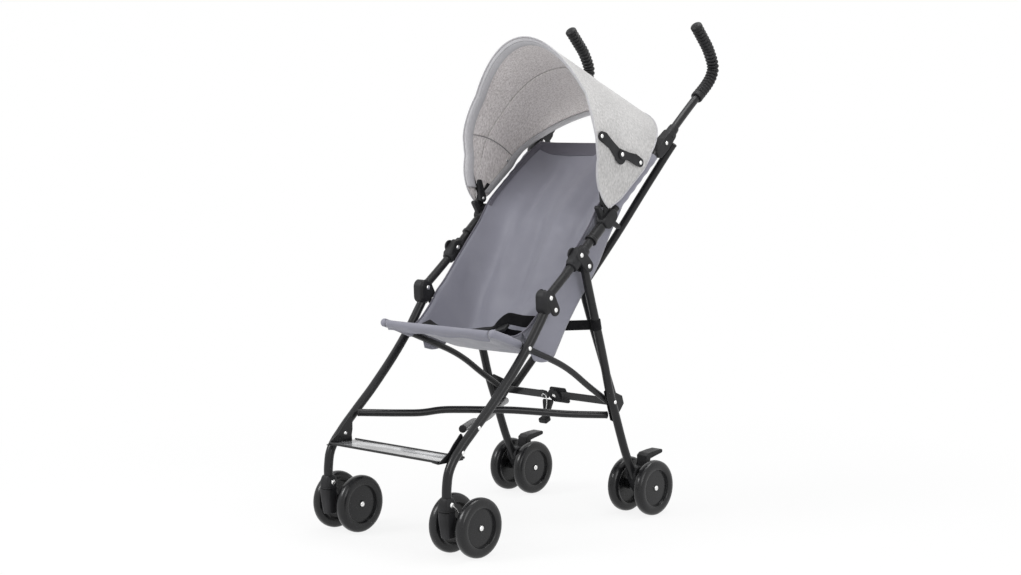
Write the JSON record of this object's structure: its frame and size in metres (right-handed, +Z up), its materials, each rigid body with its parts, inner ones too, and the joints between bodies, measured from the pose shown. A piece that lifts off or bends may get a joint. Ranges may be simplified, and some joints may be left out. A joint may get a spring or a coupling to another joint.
{
  "type": "umbrella stroller",
  "caption": "Folding umbrella stroller with twin small wheels, crossed tube frame, sling seat, J-shaped grips and a small folding canopy.",
  "frame": {"origin": "on the floor at the centre of the footprint", "axes": "+Z up, -Y towards the front the child faces, +X towards the child's left hand side"},
  "size_m": [0.466, 0.9068, 1.116],
  "materials": {
    "black_tube": "satin black powder coat",
    "black_plastic": "fine-grained matte",
    "wheel_black": "smooth satin tyre ring and fine-grained disc",
    "grip_rubber": "matte ribbed",
    "seat_cloth": "grey-lilac woven polyester",
    "canopy_cloth": "light grey melange weave",
    "webbing": "flat black webbing",
    "footrest_sheet": "clear light grey sheet",
    "stay_black": "satin black"
  },
  "bodies": {
    "right_front": {"front_leg_right": "black_tube", "caster_socket_right": "black_plastic", "lower_knuckle_right": "black_plastic", "footrest_bracket_right": "black_plastic", "footrest": "footrest_sheet"},
    "caster_right": {"caster_fork_right": "black_plastic"},
    "front_wheel_outer_right": {"front_wheel_outer_right": "wheel_black"},
    "rear_wheel_outer_right": {"rear_wheel_outer_right": "wheel_black"},
    "front_wheel_inner_right": {"front_wheel_inner_right": "wheel_black"},
    "rear_wheel_inner_right": {"rear_wheel_inner_right": "wheel_black"},
    "upper_right": {"upper_tube_right": "black_tube", "upper_knuckle_right": "black_plastic", "canopy_clamp_right": "black_plastic", "top_block_right": "black_plastic", "handle_right": "black_tube", "grip_right": "grip_rubber", "canopy_rear": "canopy_cloth"},
    "rear_right": {"rear_leg_right": "black_tube", "rear_bracket_right": "black_tube", "rear_hub_right": "black_plastic"},
    "brake_right": {"brake_pedal_right": "black_plastic"},
    "back_tube_right": {"back_tube_right": "black_tube"},
    "lower_bar_right": {"lower_bar_right": "black_tube"},
    "lock_arm_right": {"lock_arm_right": "black_plastic"},
    "seat_rail_right": {"seat_rail_right": "black_tube"},
    "stay_front_right": {"stay_front_right": "stay_black"},
    "stay_rear_right": {"stay_rear_right": "stay_black"},
    "left_front": {"front_leg_left": "black_tube", "caster_socket_left": "black_plastic", "lower_knuckle_left": "black_plastic", "footrest_bracket_left": "black_plastic"},
    "caster_left": {"caster_fork_left": "black_plastic"},
    "front_wheel_outer_left": {"front_wheel_outer_left": "wheel_black"},
    "rear_wheel_outer_left": {"rear_wheel_outer_left": "wheel_black"},
    "front_wheel_inner_left": {"front_wheel_inner_left": "wheel_black"},
    "rear_wheel_inner_left": {"rear_wheel_inner_left": "wheel_black"},
    "upper_left": {"upper_tube_left": "black_tube", "upper_knuckle_left": "black_plastic", "canopy_clamp_left": "black_plastic", "top_block_left": "black_plastic", "handle_left": "black_tube", "grip_left": "grip_rubber"},
    "rear_left": {"rear_leg_left": "black_tube", "rear_bracket_left": "black_tube", "rear_hub_left": "black_plastic"},
    "brake_left": {"brake_pedal_left": "black_plastic"},
    "back_tube_left": {"back_tube_left": "black_tube"},
    "lower_bar_left": {"lower_bar_left": "black_tube"},
    "lock_arm_left": {"lock_arm_left": "black_plastic"},
    "seat_rail_left": {"seat_rail_left": "black_tube"},
    "stay_front_left": {"stay_front_left": "stay_black"},
    "stay_rear_left": {"stay_rear_left": "stay_black"},
    "release_pedal": {"release_pedal": "black_plastic"},
    "seat_right": {"seat": "seat_cloth"},
    "seat_left": {"waist_strap": "webbing"},
    "canopy_right": {"bow_socket_right": "black_plastic", "front_bow": "black_tube", "canopy_front": "canopy_cloth"},
    "canopy_left": {"bow_socket_left": "black_plastic"}
  },
  "joints": [
    {"name": "frame_fold", "type": "slide", "parent": "right_front", "child": "left_front", "axis": [1, 0, 0], "range_m": [0, 0.18], "deforming": ["seat", "waist_strap", "canopy_front", "canopy_rear", "front_bow", "footrest"]},
    {"name": "upper_right_fold", "type": "hinge", "parent": "right_front", "child": "upper_right", "pos_m": [0.186, -0.1418, 0.5153], "axis": [1, 0, 0], "range_deg": [0, 49.58]},
    {"name": "upper_left_slide", "type": "slide", "parent": "upper_right", "child": "upper_left", "axis": [1, 0, 0], "range_m": [0, 0.18]},
    {"name": "rear_right_fold", "type": "hinge", "parent": "upper_right", "child": "rear_right", "pos_m": [0.186, -0.0179, 0.576], "axis": [-1, 0, 0], "range_deg": [0, 21.36]},
    {"name": "rail_right_fold", "type": "hinge", "parent": "right_front", "child": "seat_rail_right", "pos_m": [0.1625, -0.2032, 0.4179], "axis": [1, 0, 0], "range_deg": [0, 28.92]},
    {"name": "back_tube_right_fold", "type": "hinge", "parent": "upper_right", "child": "back_tube_right", "pos_m": [0.186, 0.2826, 0.826], "axis": [-0.4422, -0.759, 0.4779], "range_deg": [0, 19.15]},
    {"name": "lower_bar_right_fold", "type": "hinge", "parent": "right_front", "child": "lower_bar_right", "pos_m": [0.152, -0.3605, 0.258], "axis": [0.5717, 0.3405, -0.7465], "range_deg": [0, 27.56]},
    {"name": "lock_arm_right_fold", "type": "hinge", "parent": "rear_right", "child": "lock_arm_right", "pos_m": [0.15, 0.0981, 0.262], "axis": [0, 0.8879, 0.46], "range_deg": [0, 66.42]},
    {"name": "rear_left_fold", "type": "hinge", "parent": "upper_left", "child": "rear_left", "pos_m": [-0.186, -0.0179, 0.576], "axis": [-1, 0, 0], "range_deg": [0, 21.36]},
    {"name": "rail_left_fold", "type": "hinge", "parent": "left_front", "child": "seat_rail_left", "pos_m": [-0.1625, -0.2032, 0.4179], "axis": [1, 0, 0], "range_deg": [0, 28.92]},
    {"name": "back_tube_left_fold", "type": "hinge", "parent": "upper_left", "child": "back_tube_left", "pos_m": [-0.186, 0.2826, 0.826], "axis": [-0.4422, 0.759, -0.4779], "range_deg": [0, 19.15]},
    {"name": "lower_bar_left_fold", "type": "hinge", "parent": "left_front", "child": "lower_bar_left", "pos_m": [-0.152, -0.3605, 0.258], "axis": [0.5717, -0.3405, 0.7465], "range_deg": [0, 27.56]},
    {"name": "lock_arm_left_fold", "type": "hinge", "parent": "rear_left", "child": "lock_arm_left", "pos_m": [-0.15, 0.0981, 0.262], "axis": [0, -0.8879, -0.46], "range_deg": [0, 66.42]},
    {"name": "seat_fold", "type": "hinge", "parent": "right_front", "child": "seat_right", "pos_m": [0.1625, -0.2032, 0.4179], "axis": [1, 0, 0], "range_deg": [0, 48]},
    {"name": "seat_left_slide", "type": "slide", "parent": "seat_right", "child": "seat_left", "axis": [1, 0, 0], "range_m": [0, 0.18]},
    {"name": "canopy_fold", "type": "hinge", "parent": "upper_right", "child": "canopy_right", "pos_m": [0.186, 0.0506, 0.71], "axis": [-1, 0, 0], "range_deg": [0, 45]},
    {"name": "canopy_left_slide", "type": "slide", "parent": "canopy_right", "child": "canopy_left", "axis": [1, 0, 0], "range_m": [0, 0.18]},
    {"name": "stay_front_right_turn", "type": "hinge", "parent": "canopy_right", "child": "stay_front_right", "pos_m": [0.2045, 0.0194, 0.8566], "axis": [-1, 0, 0], "range_deg": [0, 47.3]},
    {"name": "stay_rear_right_turn", "type": "hinge", "parent": "upper_right", "child": "stay_rear_right", "pos_m": [0.2072, 0.1503, 0.7968], "axis": [1, 0, 0], "range_deg": [0, 40.2]},
    {"name": "stay_front_left_turn", "type": "hinge", "parent": "canopy_left", "child": "stay_front_left", "pos_m": [-0.2045, 0.0194, 0.8566], "axis": [-1, 0, 0], "range_deg": [0, 47.3]},
    {"name": "stay_rear_left_turn", "type": "hinge", "parent": "upper_left", "child": "stay_rear_left", "pos_m": [-0.2072, 0.1503, 0.7968], "axis": [1, 0, 0], "range_deg": [0, 40.2]},
    {"name": "release_press", "type": "hinge", "parent": "lock_arm_left", "child": "release_pedal", "pos_m": [-0.02, 0.0974, 0.245], "axis": [1, 0, 0], "range_deg": [0, 20]},
    {"name": "brake_right_press", "type": "hinge", "parent": "rear_right", "child": "brake_right", "pos_m": [0.183, 0.1956, 0.108], "axis": [-1, 0, 0], "range_deg": [0, 16]},
    {"name": "swivel_right", "type": "hinge", "parent": "right_front", "child": "caster_right", "pos_m": [0.179, -0.4376, 0.0985], "axis": [0, 0, 1], "continuous": true},
    {"name": "front_spin_outer_right", "type": "hinge", "parent": "caster_right", "child": "front_wheel_outer_right", "pos_m": [0.2155, -0.3828, 0.0625], "axis": [1, 0, 0], "continuous": true},
    {"name": "rear_spin_outer_right", "type": "hinge", "parent": "rear_right", "child": "rear_wheel_outer_right", "pos_m": [0.2205, 0.1856, 0.0625], "axis": [1, 0, 0], "continuous": true},
    {"name": "front_spin_inner_right", "type": "hinge", "parent": "caster_right", "child": "front_wheel_inner_right", "pos_m": [0.1405, -0.3828, 0.0625], "axis": [1, 0, 0], "continuous": true},
    {"name": "rear_spin_inner_right", "type": "hinge", "parent": "rear_right", "child": "rear_wheel_inner_right", "pos_m": [0.1455, 0.1856, 0.0625], "axis": [1, 0, 0], "continuous": true},
    {"name": "brake_left_press", "type": "hinge", "parent": "rear_left", "child": "brake_left", "pos_m": [-0.183, 0.1956, 0.108], "axis": [-1, 0, 0], "range_deg": [0, 16]},
    {"name": "swivel_left", "type": "hinge", "parent": "left_front", "child": "caster_left", "pos_m": [-0.179, -0.4376, 0.0985], "axis": [0, 0, 1], "continuous": true},
    {"name": "front_spin_outer_left", "type": "hinge", "parent": "caster_left", "child": "front_wheel_outer_left", "pos_m": [-0.2155, -0.3828, 0.0625], "axis": [1, 0, 0], "continuous": true},
    {"name": "rear_spin_outer_left", "type": "hinge", "parent": "rear_left", "child": "rear_wheel_outer_left", "pos_m": [-0.2205, 0.1856, 0.0625], "axis": [1, 0, 0], "continuous": true},
    {"name": "front_spin_inner_left", "type": "hinge", "parent": "caster_left", "child": "front_wheel_inner_left", "pos_m": [-0.1405, -0.3828, 0.0625], "axis": [1, 0, 0], "continuous": true},
    {"name": "rear_spin_inner_left", "type": "hinge", "parent": "rear_left", "child": "rear_wheel_inner_left", "pos_m": [-0.1455, 0.1856, 0.0625], "axis": [1, 0, 0], "continuous": true}
  ],
  "couplings": [
    {"joint": "upper_right_fold", "follows": "frame_fold", "rad_per_m": 4.807},
    {"joint": "upper_left_slide", "follows": "frame_fold", "ratio": 1},
    {"joint": "rear_right_fold", "follows": "frame_fold", "rad_per_m": 2.0709},
    {"joint": "rail_right_fold", "follows": "frame_fold", "rad_per_m": 2.8039},
    {"joint": "back_tube_right_fold", "follows": "frame_fold", "rad_per_m": 1.8568},
    {"joint": "lower_bar_right_fold", "follows": "frame_fold", "rad_per_m": 2.6719},
    {"joint": "lock_arm_right_fold", "follows": "frame_fold", "rad_per_m": 6.4404},
    {"joint": "rear_left_fold", "follows": "frame_fold", "rad_per_m": 2.0709},
    {"joint": "rail_left_fold", "follows": "frame_fold", "rad_per_m": 2.8039},
    {"joint": "back_tube_left_fold", "follows": "frame_fold", "rad_per_m": 1.8568},
    {"joint": "lower_bar_left_fold", "follows": "frame_fold", "rad_per_m": 2.6719},
    {"joint": "lock_arm_left_fold", "follows": "frame_fold", "rad_per_m": 6.4404},
    {"joint": "seat_fold", "follows": "frame_fold", "rad_per_m": 4.6542},
    {"joint": "seat_left_slide", "follows": "frame_fold", "ratio": 1},
    {"joint": "canopy_left_slide", "follows": "frame_fold", "ratio": 1},
    {"joint": "stay_front_right_turn", "follows": "canopy_fold", "ratio": 1.0511},
    {"joint": "stay_rear_right_turn", "follows": "canopy_fold", "ratio": 0.89333},
    {"joint": "stay_front_left_turn", "follows": "canopy_fold", "ratio": 1.0511},
    {"joint": "stay_rear_left_turn", "follows": "canopy_fold", "ratio": 0.89333}
  ]
}
